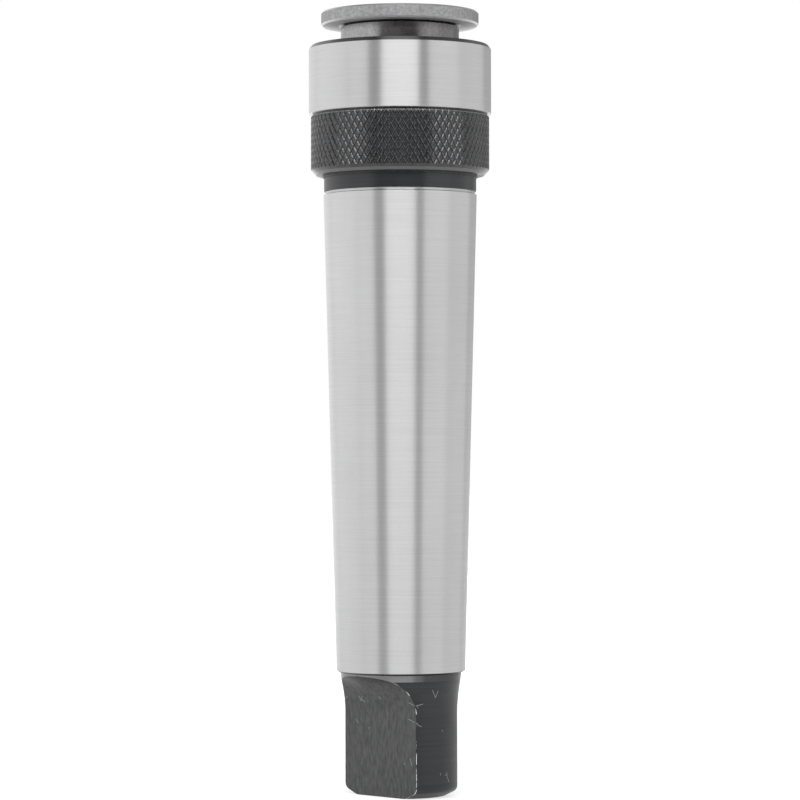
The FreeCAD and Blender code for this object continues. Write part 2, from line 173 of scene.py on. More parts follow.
def newFinish(name, metallic, ior=1.5):
    material = bpy.data.materials.new(name)
    material.use_nodes = True
    shader = material.node_tree.nodes["Principled BSDF"]
    shader.inputs["Metallic"].default_value = metallic
    shader.inputs["IOR"].default_value = ior
    return material, material.node_tree, shader


def upwardPart(tree, kind):
    # kind is Object, for the height in metres, or Normal
    place = tree.nodes.new("ShaderNodeTexCoord")
    parts = tree.nodes.new("ShaderNodeSeparateXYZ")
    tree.links.new(place.outputs[kind], parts.inputs["Vector"])
    return parts.outputs["Z"]


def acrossView(tree):
    # how far a point lies to the right of the axis as the camera sees it, in metres
    place = tree.nodes.new("ShaderNodeTexCoord")
    dot = tree.nodes.new("ShaderNodeVectorMath")
    dot.operation = "DOT_PRODUCT"
    dot.inputs[1].default_value = seenAt(90)
    tree.links.new(place.outputs["Object"], dot.inputs[0])
    return dot.outputs["Value"]


def roundLines(tree, shader, anisotropy):
    # the surface was turned, so its lines go round the Z axis
    tangent = tree.nodes.new("ShaderNodeTangent")
    tangent.direction_type = "RADIAL"
    tangent.axis = "Z"
    tree.links.new(tangent.outputs["Tangent"], shader.inputs["Tangent"])
    shader.inputs["Anisotropic"].default_value = anisotropy
    shader.inputs["Anisotropic Rotation"].default_value = 0.25


# Studio light: upright softboxes in a ring, angles in degrees to the right of the camera
studio = {
    "ringRadius": 1200.0,
    "softboxes": [
        # from, to, lowest, highest, brightness
        (-180, -126, -200, 1100, 0.78),
        (-126, -69.4, -200, 1100, 0.92),
        (-68.6, -40.6, -200, 1100, 0.99),
        (-25.1, 25.2, 500, 1500, 3.2),
        (36.5, 80, -200, 1100, 0.93),
        (80, 130, -200, 1100, 0.63),
        (130, 180, -200, 1100, 0.3),
    ],
    "overhead": (700.0, 1500.0, 0.5),  # side, height, brightness
    "wattsPerBrightness": math.pi,     # for each square metre of softbox
    "roomGrey": 0.1,
    "floorSize": 6000.0,
    "floorGap": 0.02,                  # so that the floor and the tang's end aren't one plane
    "floorColor": (0.82, 0.82, 0.82),
    "floorRoughness": 0.9,
    "glow": (0.62, 1.0),               # near the chuck and far from it
    "glowReach": (50.0, 600.0),        # where the two are
    "glowShare": 0.6,                  # of the glow to the camera, for all other rays
}


def addSoftbox(name, place, aim, width, height, brightness):
    data = bpy.data.lights.new(name, "AREA")
    data.shape = "RECTANGLE"
    data.size = width
    data.size_y = height
    data.energy = brightness * studio["wattsPerBrightness"] * width * height
    light = addObject(name, data)
    facing = (aim - place).to_track_quat("-Z", "Y")
    light.matrix_world = Matrix.Translation(place) @ facing.to_matrix().to_4x4()
    light.visible_camera = False


def makeLights():
    ring = studio["ringRadius"] * mm
    for number, (first, last, lowest, highest, brightness) in enumerate(studio["softboxes"]):
        left = seenAt(first) * ring
        right = seenAt(last) * ring
        middle = (left + right) / 2
        place = middle + Vector((0, 0, (lowest + highest) / 2 * mm))
        aim = Vector((0, 0, place.z))
        addSoftbox(
            f"softbox{number + 1}", place, aim, (right - left).length,
            (highest - lowest) * mm, brightness)
    side, height, brightness = studio["overhead"]
    above = Vector((0, 0, height * mm))
    addSoftbox("overhead", above, Vector((0, 0, 0)), side * mm, side * mm, brightness)


def makeRoom():
    world = bpy.data.worlds.new("room")
    bpy.context.scene.world = world
    world.use_nodes = True
    nodes = world.node_tree.nodes
    links = world.node_tree.links
    grey = nodes["Background"]
    grey.inputs["Color"].default_value = (1, 1, 1, 1)
    grey.inputs["Strength"].default_value = studio["roomGrey"]
    white = nodes.new("ShaderNodeBackground")
    white.inputs["Color"].default_value = (1, 1, 1, 1)
    white.inputs["Strength"].default_value = 1.0
    path = nodes.new("ShaderNodeLightPath")
    mix = nodes.new("ShaderNodeMixShader")
    links.new(path.outputs["Is Camera Ray"], mix.inputs["Fac"])
    links.new(grey.outputs["Background"], mix.inputs[1])
    links.new(white.outputs["Background"], mix.inputs[2])
    links.new(mix.outputs["Shader"], nodes["World Output"].inputs["Surface"])


def makeFloor():
    half = studio["floorSize"] / 2 * mm
    low = -studio["floorGap"] * mm
    mesh = bpy.data.meshes.new("floor")
    corners = [(-half, -half, low), (half, -half, low), (half, half, low), (-half, half, low)]
    mesh.from_pydata(corners, [], [(0, 1, 2, 3)])
    floor = addObject("floor", mesh)
    material, tree, paper = newFinish("floorPaper", 0.0)
    fillSocket(tree, paper.inputs["Base Color"], studio["floorColor"])
    paper.inputs["Roughness"].default_value = studio["floorRoughness"]
    paper.inputs["Emission Color"].default_value = (1, 1, 1, 1)
    # the paper glows to the camera, more so far away, and still shows the shadow
    place = tree.nodes.new("ShaderNodeTexCoord")
    away = tree.nodes.new("ShaderNodeVectorMath")
    away.operation = "LENGTH"
    tree.links.new(place.outputs["Object"], away.inputs[0])
    near, far = studio["glowReach"]
    glow = ranged(tree, away.outputs["Value"], *studio["glow"], near * mm, far * mm)
    path = tree.nodes.new("ShaderNodeLightPath")
    share = calculated(tree, "MAXIMUM", path.outputs["Is Camera Ray"], studio["glowShare"])
    strength = calculated(tree, "MULTIPLY", glow, share)
    tree.links.new(strength, paper.inputs["Emission Strength"])
    mesh.materials.append(material)


makeLights()
makeRoom()
makeFloor()
scene = bpy.context.scene
scene.view_settings.view_transform = "Standard"
print("studio built")

# Ground steel: fine lines round the axis, so it blurs along the axis and is crisp across
groundLook = {
    "dark": (0.635, 0.635, 0.64),
    "light": (0.69, 0.69, 0.69),
    "pits": (0.4, 0.4, 0.4),
    "pitShare": 0.1,
    "pitStretch": (3400.0, 3400.0, 3400.0),
    "roughness": (0.35, 0.39),
    "anisotropy": 1.0,
    "lineStretch": (60.0, 60.0, 4200.0),
    "cloudStretch": (70.0, 70.0, 25.0),
    "bump": (0.1, 0.004),        # strength and depth
}


def groundSteel(name, look):
    material, tree, shader = newFinish(name, 1.0)
    lines = noiseOf(tree, look["lineStretch"], "fine")
    clouds = noiseOf(tree, look["cloudStretch"])
    color = blended(tree, ranged(tree, lines, 0, 1), look["dark"], look["light"])
    pits = ranged(tree, noiseOf(tree, look["pitStretch"]), 0, look["pitShare"])
    color = blended(tree, pits, color, look["pits"])
    tree.links.new(color, shader.inputs["Base Color"])
    tree.links.new(ranged(tree, clouds, *look["roughness"]), shader.inputs["Roughness"])
    roundLines(tree, shader, look["anisotropy"])
    bumped(tree, shader, lines, *look["bump"])
    return material


# Black oxide on turned, milled or knurled steel
oxideClouds = (160.0, 160.0, 160.0)
oxideLooks = {
    "turned": {
        "dark": (0.008, 0.009, 0.010),
        "light": (0.018, 0.020, 0.022),
        "roughness": (0.24, 0.36),
        "stretch": (25.0, 25.0, 2600.0),
        "bump": (0.25, 0.004),
        "ior": 1.52,
    },
    "milled": {
        "dark": (0.014, 0.014, 0.015),
        "light": (0.070, 0.071, 0.074),
        "roughness": (0.30, 0.52),
        "stretch": (1700.0, 1700.0, 500.0),
        "bump": (0.25, 0.02),
        "ior": 1.62,
    },
    "knurled": {
        "dark": (0.018, 0.018, 0.020),
        "light": (0.045, 0.045, 0.048),
        "roughness": (0.14, 0.22),
        "stretch": (500.0, 500.0, 500.0),
        "bump": (0.25, 0.002),
        "ior": 1.56,
    },
}


def blackOxide(name, look):
    material, tree, shader = newFinish(name, 0.0, look["ior"])
    marks = noiseOf(tree, look["stretch"], "fine")
    clouds = noiseOf(tree, oxideClouds)
    color = blended(tree, ranged(tree, marks, 0, 1), look["dark"], look["light"])
    tree.links.new(color, shader.inputs["Base Color"])
    tree.links.new(ranged(tree, clouds, *look["roughness"]), shader.inputs["Roughness"])
    bumped(tree, shader, marks, *look["bump"])
    return material


# Thin oxide on the knurl's steep flanks, on rubbed and nicked edges and in scratches: dark
# metal that still shines
thinPatches = (600.0, 600.0, 600.0)
thinLooks = {
    "flank": {"color": (0.11, 0.11, 0.113), "roughness": (0.12, 0.2), "anisotropy": 0.0},
    "rubbed": {"color": (0.17, 0.17, 0.17), "roughness": (0.3, 0.36), "anisotropy": 1.0},
    "nicked": {"color": (0.3, 0.3, 0.3), "roughness": (0.3, 0.5), "anisotropy": 0.0},
    "scratch": {"color": (0.42, 0.42, 0.42), "roughness": (0.35, 0.5), "anisotropy": 0.0},
}


def thinOxide(name, look):
    material, tree, shader = newFinish(name, 1.0)
    if look["anisotropy"]:
        roundLines(tree, shader, look["anisotropy"])
    fillSocket(tree, shader.inputs["Base Color"], look["color"])
    patches = noiseOf(tree, thinPatches)
    tree.links.new(ranged(tree, patches, *look["roughness"]), shader.inputs["Roughness"])
    return material


# The shoulder below the taper: a painted highlight in the middle of the view, where the front
# softbox's reflection falls, and dark oxide to the right
shoulderLook = {
    # rubbed here is the colour of the painted highlight; dark is the oxide's own colour
    "rubbed": (0.27, 0.27, 0.27),
    "dark": (0.085, 0.085, 0.086),
    "highlightEnd": 2.0,     # to the right of the axis
    "darkStart": 5.0,
    "roughness": 0.3,
}


def shoulderPaintedHighlight(name, look):
    material, tree, shader = newFinish(name, 1.0)
    # painted highlight: the bright colour covers the middle and left of the band as the camera sees
    # it, and gives way to the dark oxide to the right
    side = ranged(tree, acrossView(tree), 0, 1, look["highlightEnd"] * mm, look["darkStart"] * mm)
    color = blended(tree, side, look["rubbed"], look["dark"])
    tree.links.new(color, shader.inputs["Base Color"])
    shader.inputs["Roughness"].default_value = look["roughness"]
    roundLines(tree, shader, groundLook["anisotropy"])
    return material


# Where the oxide is rubbed off along the tang's long edges
wornLook = {
    "metallic": 0.6,
    "ior": 1.6,
    "nickStretch": (400.0, 400.0, 700.0),
    "endWear": (0.24, 10.0, 13.0),       # how much more, and between which heights it ends
    "runoutWear": (0.16, 20.5, 21.5),    # how much more, and between which heights it starts
    "wornAbove": (0.60, 0.72),
    "oxide": (0.03, 0.03, 0.03),
    "steel": (0.9, 0.9, 0.89),
    "roughness": (0.45, 0.3),
}


def wornEdge(name, look):
    material, tree, shader = newFinish(name, look["metallic"], look["ior"])
    nicks = noiseOf(tree, look["nickStretch"], "finest")
    # more of it is worn towards the tang's end and along the flat's run-out
    wear, start, end = look["endWear"]
    lower = ranged(tree, upwardPart(tree, "Object"), wear, 0, start * mm, end * mm)
    wear, start, end = look["runoutWear"]
    upper = ranged(tree, upwardPart(tree, "Object"), 0, wear, start * mm, end * mm)
    total = calculated(tree, "ADD", calculated(tree, "ADD", nicks, lower), upper)
    worn = ranged(tree, total, 0, 1, *look["wornAbove"])
    color = blended(tree, worn, look["oxide"], look["steel"])
    tree.links.new(color, shader.inputs["Base Color"])
    tree.links.new(ranged(tree, nicks, *look["roughness"]), shader.inputs["Roughness"])
    return material


# Spring steel and hardened steel: a speckled grey
steelGrain = {
    "speckleStretch": (2200.0, 2200.0, 2200.0),
    "cloudStretch": (220.0, 220.0, 420.0),
    "bump": (0.2, 0.006),
}
steelLooks = {
    "spring": {"dark": (0.20, 0.20, 0.21), "light": (0.30, 0.30, 0.31), "roughness": (0.28, 0.4)},
    "hardened": {"dark": (0.5, 0.5, 0.5), "light": (0.62, 0.62, 0.62), "roughness": (0.12, 0.2)},
}


def speckledSteel(name, look):
    material, tree, shader = newFinish(name, 1.0)
    speckle = noiseOf(tree, steelGrain["speckleStretch"], "fine")
    clouds = noiseOf(tree, steelGrain["cloudStretch"])
    color = blended(tree, ranged(tree, speckle, 0, 1), look["dark"], look["light"])
    tree.links.new(color, shader.inputs["Base Color"])
    tree.links.new(ranged(tree, clouds, *look["roughness"]), shader.inputs["Roughness"])
    bumped(tree, shader, speckle, *steelGrain["bump"])
    return material


# The collet's head: a satin flange on a neck with painted light and shade, darkest in the middle of
# the view and darker still just under the flange
colletLook = {
    # painted light and shade across the view: the neck's colour on the left, in the middle and on the
    # right
    "neckLeft": (0.42, 0.413, 0.42),
    "neckMiddle": (0.15, 0.144, 0.144),
    "neckRight": (0.25, 0.243, 0.243),
    "leftTurn": (-6.0, -1.0),    # left to middle, between these places across the view
    "rightTurn": (2.0, 6.0),     # middle to right
    "neckStain": (0.06, 0.058, 0.058),
    "stainShare": 0.35,
    # painted shade under the flange
    "neckShade": (0.03, 0.029, 0.029),
    "shadeShare": 0.6,
    "shadeLength": 1.6,          # down the neck from the flange
    "neckRoughness": (0.22, 0.32),
    "neckBump": (0.2, 0.008),
    "rimDark": (0.28, 0.28, 0.285),
    "rimLight": (0.46, 0.46, 0.465),
    "rimRoughness": (0.46, 0.56),
    "rimBump": (0.3, 0.01),
    "faced": (0.95, 0.95, 0.955),
    "facedAbove": (0.5, 0.8),    # how far a face looks up or down, 1 for straight up
    "flangeThickness": 2.8,
    "flangeBorder": (0.01, 0.02),  # below the flange, where the neck's finish starts
    "speckleStretch": (1800.0, 1800.0, 1800.0),
    "cloudStretch": (300.0, 300.0, 300.0),
}


def satinFlange(tree, rim, speckle, clouds, look):
    color = blended(tree, ranged(tree, speckle, 0, 1), look["rimDark"], look["rimLight"])
    # the flange's two faces are brighter than its rim
    steep = calculated(tree, "ABSOLUTE", upwardPart(tree, "Normal"))
    color = blended(tree, ranged(tree, steep, 0, 1, *look["facedAbove"]), color, look["faced"])
    tree.links.new(color, rim.inputs["Base Color"])
    tree.links.new(ranged(tree, clouds, *look["rimRoughness"]), rim.inputs["Roughness"])
    bumped(tree, rim, speckle, *look["rimBump"])


def neckWithPaintedShade(tree, neck, speckle, clouds, flangeBottom, look):
    neck.inputs["Metallic"].default_value = 1.0
    # painted light and shade: the colour changes across the view as the camera sees it
    across = acrossView(tree)
    color = look["neckLeft"]
    for turn, following in (("leftTurn", "neckMiddle"), ("rightTurn", "neckRight")):
        start, end = look[turn]
        side = ranged(tree, across, 0, 1, start * mm, end * mm)
        color = blended(tree, side, color, look[following])
    color = blended(tree, ranged(tree, speckle, 0, look["stainShare"]), color, look["neckStain"])
    # painted shade, darkest just under the flange
    shadeBottom = flangeBottom - look["shadeLength"]
    height = upwardPart(tree, "Object")
    shade = ranged(tree, height, 0, look["shadeShare"], shadeBottom * mm, flangeBottom * mm)
    color = blended(tree, shade, color, look["neckShade"])
    tree.links.new(color, neck.inputs["Base Color"])
    tree.links.new(ranged(tree, clouds, *look["neckRoughness"]), neck.inputs["Roughness"])
    bumped(tree, neck, speckle, *look["neckBump"])


def colletSteel(name, look):
    material, tree, rim = newFinish(name, 1.0)
    neck = tree.nodes.new("ShaderNodeBsdfPrincipled")
    speckle = noiseOf(tree, look["speckleStretch"], "fine")
    clouds = noiseOf(tree, look["cloudStretch"])
    flangeBottom = millimetres("collet_body")[1].z - look["flangeThickness"]
    satinFlange(tree, rim, speckle, clouds, look)
    neckWithPaintedShade(tree, neck, speckle, clouds, flangeBottom, look)
    upper, lower = look["flangeBorder"]
    height = upwardPart(tree, "Object")
    onFlange = ranged(tree, height, 0, 1, (flangeBottom - lower) * mm, (flangeBottom - upper) * mm)
    mix = tree.nodes.new("ShaderNodeMixShader")
    tree.links.new(onFlange, mix.inputs["Fac"])
    tree.links.new(neck.outputs["BSDF"], mix.inputs[1])
    tree.links.new(rim.outputs["BSDF"], mix.inputs[2])
    tree.links.new(mix.outputs["Shader"], tree.nodes["Material Output"].inputs["Surface"])
    return material


# Moulded rubber of the wiper ring
rubberLook = {
    "dark": (0.012, 0.012, 0.012),
    "light": (0.03, 0.03, 0.03),
    "roughness": (0.28, 0.4),
    "grainStretch": (1500.0, 1500.0, 1500.0),
}


def rubber(name, look):
    material, tree, shader = newFinish(name, 0.0)
    grain = noiseOf(tree, look["grainStretch"])
    color = blended(tree, ranged(tree, grain, 0, 1), look["dark"], look["light"])
    tree.links.new(color, shader.inputs["Base Color"])
    tree.links.new(ranged(tree, grain, *look["roughness"]), shader.inputs["Roughness"])
    return material


finishes = {
    "groundSteel": groundSteel("groundSteel", groundLook),
    "turnedOxide": blackOxide("turnedOxide", oxideLooks["turned"]),
    "milledOxide": blackOxide("milledOxide", oxideLooks["milled"]),
    "shoulderOxide": shoulderPaintedHighlight("shoulderOxide", shoulderLook),
    "knurledOxide": blackOxide("knurledOxide", oxideLooks["knurled"]),
    "flankOxide": thinOxide("flankOxide", thinLooks["flank"]),
    "rubbedOxide": thinOxide("rubbedOxide", thinLooks["rubbed"]),
    "nickedEdge": thinOxide("nickedEdge", thinLooks["nicked"]),
    "scratch": thinOxide("scratch", thinLooks["scratch"]),
    "wornEdge": wornEdge("wornEdge", wornLook),
    "colletSteel": colletSteel("colletSteel", colletLook),
    "springSteel": speckledSteel("springSteel", steelLooks["spring"]),
    "hardenedSteel": speckledSteel("hardenedSteel", steelLooks["hardened"]),
    "rubber": rubber("rubber", rubberLook),
}
print("finishes made:", len(finishes))

# Outline tools: a corner is (radius, height, rounding, finish of the stretch that starts there)
cornerShape = {"steps": 5, "longestReach": 0.45}  # the reach is a share of the shorter side


def roundedPath(corners):
    path = []
    steps = cornerShape["steps"]
    for index, (radius, height, rounding, finish) in enumerate(corners):
        here = Vector((radius, height))
        if rounding == 0:
            path.append((radius, height, finish))
            continue
        before = Vector(corners[index - 1][:2]) - here
        after = Vector(corners[index + 1][:2]) - here
        half = before.angle(after) / 2
        longest = min(before.length, after.length) * cornerShape["longestReach"]
        reach = min(rounding / math.tan(half), longest)
        size = reach * math.tan(half)
        middle = here + (before.normalized() + after.normalized()).normalized() * size / math.sin(half)
        start = here + before.normalized() * reach - middle
        end = here + after.normalized() * reach - middle
        turn = start.angle_signed(end)
        for step in range(steps + 1):
            # angle_signed is clockwise positive
            spoke = start.copy()
            spoke.rotate(Matrix.Rotation(-turn * step / steps, 2))
            point = middle + spoke
            path.append((point.x, point.y, corners[index - 1][3] if step < steps / 2 else finish))
    return path


def evenAngles(count):
    return [2 * math.pi * index / count for index in range(count)]


def newPiece(name, points, faces, finishNames):
    mesh = bpy.data.meshes.new(name)
    mesh.from_pydata([(x * mm, y * mm, z * mm) for x, y, z in points], [], faces)
    for finish in finishNames:
        mesh.materials.append(finishes[finish])
    return addObject(name, mesh)


mergeDistance = 1e-8    # metres
sliverLength = 1e-9     # metres


def polarMesh(name, rows, anglesOf, radiusOf, finishOf, finishNames, splitOf=None, loop=False):
    # a grid of rows round the Z axis; rows are (radius, height, finish)
    points = []
    for row in rows:
        for angle in anglesOf(row):
            radius = radiusOf(row, angle)
            points.append((radius * math.cos(angle), radius * math.sin(angle), row[1]))
    columns = len(points) // len(rows)
    faces = []
    slots = []
    for first in range(len(rows) if loop else len(rows) - 1):
        second = (first + 1) % len(rows)
        for column in range(columns):
            beside = (column + 1) % columns
            low = first * columns
            high = second * columns
            quad = (low + column, low + beside, high + beside, high + column)
            finish = finishOf(rows[first], column, rows[first][2])
            split = splitOf(rows[first], rows[second], column) if splitOf else None
            if split is None:
                faces.append(quad)
                slots.append(finishNames.index(finish))
            else:
                a, b, c, d = quad
                pair = [(a, b, d), (b, c, d)] if split else [(a, b, c), (a, c, d)]
                faces.extend(pair)
                slots.extend([finishNames.index(finish)] * 2)
    piece = newPiece(name, points, faces, finishNames)
    piece.data.polygons.foreach_set("material_index", slots)
    shape = bmesh.new()
    shape.from_mesh(piece.data)
    bmesh.ops.remove_doubles(shape, verts=shape.verts, dist=mergeDistance)
    bmesh.ops.dissolve_degenerate(shape, edges=shape.edges, dist=sliverLength)
    shape.to_mesh(piece.data)
    shape.free()
    return piece


# Shading: an edge that turns by more than the sharp angle, in degrees, stays crisp
shading = {"sharpAngle": 28.0, "evenWeight": 60}


def shadeSmooth(piece):
    piece.data.shade_smooth()
    piece.data.set_sharp_from_angle(angle=math.radians(shading["sharpAngle"]))
    even = piece.modifiers.new("evenShading", "WEIGHTED_NORMAL")
    even.keep_sharp = True
    even.weight = shading["evenWeight"]


def placed(piece, body, nodes):
    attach(piece, body)
    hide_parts(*nodes)
    return piece


# Shank: tang with two milled flats, Morse taper, collar and the nose tube with its bores
shankSizes = {
    "tangRadius": 12.0,
    "tangThickness": 11.9,
    "flatTop": 17.0,
    "runoutRadius": 8.0,
    "endRadius": 9.2,
    "endChamfer": 1.4,
    "endRounding": 1.5,
    "endFaceHeight": 0.01,       # what lies lower is the tang's end face
    "neckHeight": 21.0,
    "shoulderRadius": 12.3,
    "shoulderHeight": 23.9,
    "shoulderTopRadius": 12.45,
    "shoulderStep": 0.4,
    "swellSteps": 20,
    "taperBottom": 25.6,
    "taperTop": 123.5,
    "gaugeRadius": 15.6335,
    "gaugeHeight": 117.5,
    "taperRate": 0.02597,        # change of radius for each millimetre of length
    "collarRadius": 15.7,
    "grooveDepth": 0.3,
    "grooveWidth": 0.7,
    "grooveLowerFlank": 0.12,
    "grooveUpperFlank": 0.1,
    "noseRadius": 14.7,
    "boreDepth": 30.0,
    "boreRadius": 12.23,
    "ejectorBoreRadius": 8.0,
    "noseChamfer": 0.4,
    "edgeRounding": 0.12,
    "fineRounding": 0.05,
    "taperBottomRounding": 0.08,
    "taperTopRounding": 0.04,
    "tangEdgeRounding": 0.22,
    "widestCorner": 89.7,        # degrees, where a flat has closed up to a thin line
    "cylinderColumns": 150,
    "flatColumns": 44,
    "edgeColumns": 3,
    "tangRowStep": 1.0,
    "runoutRowStep": 0.25,
    "snapGrooveDepth": 0.8,
}


def taperRadiusAt(height):
    return shankSizes["gaugeRadius"] - (shankSizes["gaugeHeight"] - height) * shankSizes["taperRate"]


def flatDistance(height):
    # from the axis to the milled flat, which curves out where the cutter left it
    half = shankSizes["tangThickness"] / 2
    radius = shankSizes["runoutRadius"]
    rise = height - shankSizes["flatTop"]
    if rise <= 0:
        return half
    if rise >= radius:
        return half + radius
    return half + radius - math.sqrt(radius ** 2 - rise ** 2)


def cornerAngle(row):
    # from the X axis to the corner between the round side and the flat
    widest = math.radians(shankSizes["widestCorner"])
    if row[1] > shankSizes["flatTop"] + shankSizes["runoutRadius"]:
        return widest
    share = flatDistance(row[1]) / max(row[0], tiny)
    return math.asin(min(share, math.sin(widest)))


def sectorAngles(start, end, count, edgeCount, edgeStep):
    # close together beside both ends, even in between
    step = min(edgeStep, (end - start) / (4 * edgeCount))
    inner = [start + step * index for index in range(edgeCount)]
    outer = [end - step * (edgeCount - 1 - index) for index in range(edgeCount)]
    even = count - 2 * edgeCount
    gap = (outer[0] - inner[-1]) / (even + 1)
    return inner + [inner[-1] + gap * (index + 1) for index in range(even)] + outer


def shankAngles(row):
    # a sector's last angle is left out, because the next sector starts with it
    corner = cornerAngle(row)
    step = shankSizes["tangEdgeRounding"] / 2 / shankSizes["tangRadius"]
    angles = []
    for side in range(2):
        turn = side * math.pi
        edges = shankSizes["edgeColumns"]
        angles += sectorAngles(
            turn - corner, turn + corner, shankSizes["cylinderColumns"], edges, step)[:-1]
        angles += sectorAngles(
            turn + corner, turn + math.pi - corner, shankSizes["flatColumns"], edges, step)[:-1]
    return angles


def shankRadius(row, angle):
    radius, height, finish = row
    if height > shankSizes["taperBottom"] or radius == 0:
        return radius
    flat = flatDistance(height) / max(abs(math.sin(angle)), tiny)
    soft = shankSizes["tangEdgeRounding"]
    near = max(soft - abs(radius - flat), 0) / soft
    return min(radius, flat) - near ** 2 * soft / 4


def shankFinish(row, column, finish):
    # the flats are milled, and the oxide is worn off along their long edges
    tangTop = shankSizes["flatTop"] + shankSizes["runoutRadius"]
    if not shankSizes["endFaceHeight"] <= row[1] <= tangTop:
        return finish
    flatStart = shankSizes["cylinderColumns"] - 1
    half = flatStart + shankSizes["flatColumns"] - 1
    place = column % half
    if place in (flatStart - 1, 0) and row[1] < shankSizes["shoulderHeight"]:
        return "wornEdge"
    return "milledOxide" if place > flatStart else finish


def divided(path, lowest, highest, step):
    # more rows on the long stretches between two heights
    rows = []
    for row, following in zip(path, path[1:] + [path[-1]]):
        rows.append(row)
        rise = following[1] - row[1]
        if rise <= step or row[1] < lowest - tiny or following[1] > highest + tiny:
            continue
        count = math.ceil(rise / step)
        for index in range(1, count):
            share = index / count
            rows.append((row[0] + (following[0] - row[0]) * share, row[1] + rise * share, row[2]))
    return rows


def swellRadius(size):
    # of the arc from the tang's round side up to the shoulder
    rise = size["shoulderHeight"] - size["neckHeight"]
    run = size["shoulderRadius"] - size["tangRadius"]
    return (rise ** 2 + run ** 2) / (2 * run)


def tangSwell(size):
    radius = swellRadius(size)
    steps = size["swellSteps"]
    turn = math.asin((size["shoulderHeight"] - size["neckHeight"]) / radius)
    return [
        (size["tangRadius"] + radius * (1 - math.cos(turn * index / steps)),
         size["neckHeight"] + radius * math.sin(turn * index / steps), 0, "turnedOxide")
        for index in range(steps)]


def makeShank():
    size = shankSizes
    edge = size["edgeRounding"]
    fine = size["fineRounding"]
    guideTop = millimetres("front_guide_ring")[1].z
    snapTop = millimetres("front_snap_ring")[1].z
    noseTop = millimetres("shank_body")[1].z
    barrelTop = millimetres("sleeve_spring")[0].z
    boreBottom = noseTop - size["boreDepth"]
    ejectorBoreBottom = millimetres("ejector_spring")[0].z
    oxide = "turnedOxide"
    grooveRadius = size["collarRadius"] - size["grooveDepth"]
    collarBottom = size["taperTop"] + size["grooveWidth"]
    snapRadius = size["noseRadius"] - size["snapGrooveDepth"]
    corners = [
        (0, 0, 0, oxide),
        (size["endRadius"], 0, size["endRounding"], oxide),
        (size["tangRadius"], size["endChamfer"], size["endRounding"], oxide),
        (size["tangRadius"], size["flatTop"], 0, oxide),
        *tangSwell(size),
        (size["shoulderRadius"], size["shoulderHeight"], edge, "shoulderOxide"),
        (size["shoulderTopRadius"], size["taperBottom"] - size["shoulderStep"], fine, oxide),
        (taperRadiusAt(size["taperBottom"]), size["taperBottom"], size["taperBottomRounding"],
         "groundSteel"),
        (taperRadiusAt(size["taperTop"]), size["taperTop"], size["taperTopRounding"], oxide),
        (grooveRadius, size["taperTop"] + size["grooveLowerFlank"], 0, "groundSteel"),
        (grooveRadius, collarBottom - size["grooveUpperFlank"], 0, oxide),
        (size["collarRadius"], collarBottom, fine, oxide),
        (size["collarRadius"], barrelTop, edge, oxide),
        (size["noseRadius"], barrelTop, 0, oxide),
        (size["noseRadius"], guideTop, 0, oxide),
        (snapRadius, guideTop, 0, oxide),
        (snapRadius, snapTop, 0, oxide),
        (size["noseRadius"], snapTop, fine, oxide),
        (size["noseRadius"], noseTop - size["noseChamfer"], fine, oxide),
        (size["noseRadius"] - size["noseChamfer"], noseTop, fine, oxide),
        (size["boreRadius"] + size["noseChamfer"], noseTop, fine, oxide),
        (size["boreRadius"], noseTop - size["noseChamfer"], fine, oxide),
        (size["boreRadius"], boreBottom, 0, oxide),
        (size["ejectorBoreRadius"], boreBottom, 0, oxide),
        (size["ejectorBoreRadius"], ejectorBoreBottom, 0, oxide),
        (0, ejectorBoreBottom, 0, oxide),
    ]
    path = roundedPath(corners)
    path = divided(path, 0, size["flatTop"], size["tangRowStep"])
    path = divided(path, size["flatTop"] - 1, size["taperBottom"], size["runoutRowStep"])
    shank = polarMesh(
        "shank", path, shankAngles, shankRadius, shankFinish,
        ["turnedOxide", "groundSteel", "milledOxide", "wornEdge", "shoulderOxide"])
    shadeSmooth(shank)
    return placed(shank, "base", ["shank_body"])


shank = makeShank()
print("shank made:", len(shank.data.polygons), "faces")

# Light scratches in the tang's oxide, after the photograph. On the flat a point is its distance
# from the middle and its height, and on the round side degrees to the right of the camera and
# its height.
scratchSizes = {
    "width": 0.08,
    "lift": 0.012,
    "flat": [
        [(-9.7, 19.7), (-8.9, 20.2)],
        [(-10.3, 19.1), (-9.5, 19.9)],
        [(-5.6, 20.3), (-5.1, 19.6), (-4.2, 19.2)],
        [(-5.5, 19.3), (-4.5, 20.4)],
        [(0.5, 20.6), (0.8, 20.0)],
        [(8.7, 19.7), (10.1, 19.2)],
        [(8.2, 16.3), (10.1, 15.7)],
        [(-3.4, 14.0), (-3.3, 13.6)],
        [(8.7, 8.4), (9.1, 7.0)],
        [(6.8, 7.3), (7.1, 7.0)],
        [(-7.1, 15.5), (-6.5, 14.6)],
        [(-10.5, 23.2), (-8.4, 24.0)],
        [(-9.8, 22.6), (-7.8, 23.3)],
        [(-9.8, 21.3), (-8.7, 22.2)],
    ],
    "round": [
        [(15.0, 19.2), (17.5, 19.2), (22.0, 19.5)],
        [(15.4, 19.1), (17.0, 18.6)],
        [(15.0, 15.7), (17.5, 15.1), (20.3, 14.9)],
        [(32.0, 22.2), (33.7, 21.5), (35.9, 20.6)],
        [(38.9, 22.0), (35.9, 20.8)],
        [(50.4, 5.4), (51.6, 4.3), (54.0, 3.3)],
        [(41.1, 5.2), (42.4, 4.8)],
        [(47.9, 4.9), (50.1, 4.6)],
        [(43.7, 14.0), (45.0, 13.6)],
    ],
}


def onFlat(across, height):
    outward = Vector((0, -1, 0))
    return Vector((across, -flatDistance(height), height)), outward


def onRound(turn, height):
    outward = seenAt(turn)
    rise = max(height - shankSizes["neckHeight"], 0)
    radius = shankSizes["tangRadius"] + rise ** 2 / (2 * swellRadius(shankSizes))
    return outward * radius + Vector((0, 0, height)), outward


